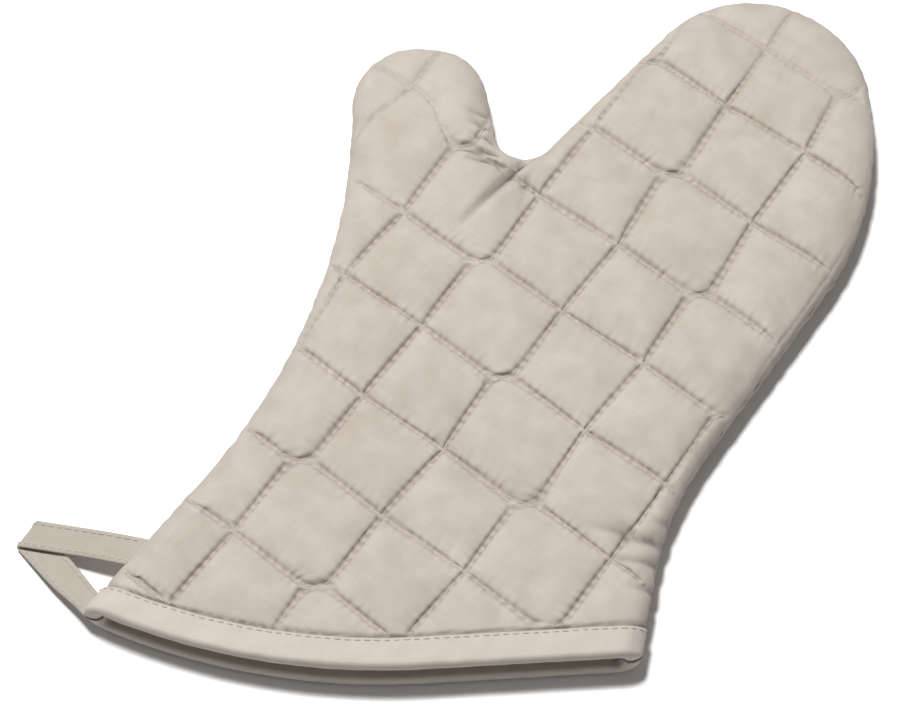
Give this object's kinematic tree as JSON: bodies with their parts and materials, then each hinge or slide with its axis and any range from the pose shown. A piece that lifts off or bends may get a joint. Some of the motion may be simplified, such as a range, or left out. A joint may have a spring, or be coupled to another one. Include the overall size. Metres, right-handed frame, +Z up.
{
  "type": "oven mitt",
  "caption": "Quilted fabric oven mitt with a thumb, layered panels, bound flared cuff and a tape hang loop that swings at the side seam.",
  "frame": {"origin": "middle of the bounding box, on the surface that the back panel lies on", "axes": "+Y from the cuff towards the fingertips along the quilting, +X towards the little finger side, +Z up through the front panel"},
  "size_m": [0.2347, 0.3801, 0.022],
  "materials": {
    "shell_cloth": "matt beige cotton cloth, plain weave",
    "batting": "off-white needled cotton felt",
    "lining_cloth": "natural cotton cloth, brushed",
    "binding_tape": "matt beige bias tape",
    "thread": "beige cotton-polyester sewing thread"
  },
  "bodies": {
    "mitt": {"front_shell": "shell_cloth", "back_shell": "shell_cloth", "front_batting": "batting", "back_batting": "batting", "front_lining": "lining_cloth", "back_lining": "lining_cloth", "front_cuff_binding": "binding_tape", "back_cuff_binding": "binding_tape", "front_quilt_thread": "thread", "back_quilt_thread": "thread", "front_binding_thread": "thread", "back_binding_thread": "thread", "side_seam_thread": "thread"},
    "hang_loop": {"hang_loop": "binding_tape", "loop_edge_thread": "thread"}
  },
  "joints": [
    {"name": "hang_loop_swing", "type": "hinge", "parent": "mitt", "child": "hang_loop", "pos_m": [-0.0608, -0.19016, 0.011], "axis": [0.0397, 0.9992, 0], "range_deg": [-72, 98]}
  ]
}
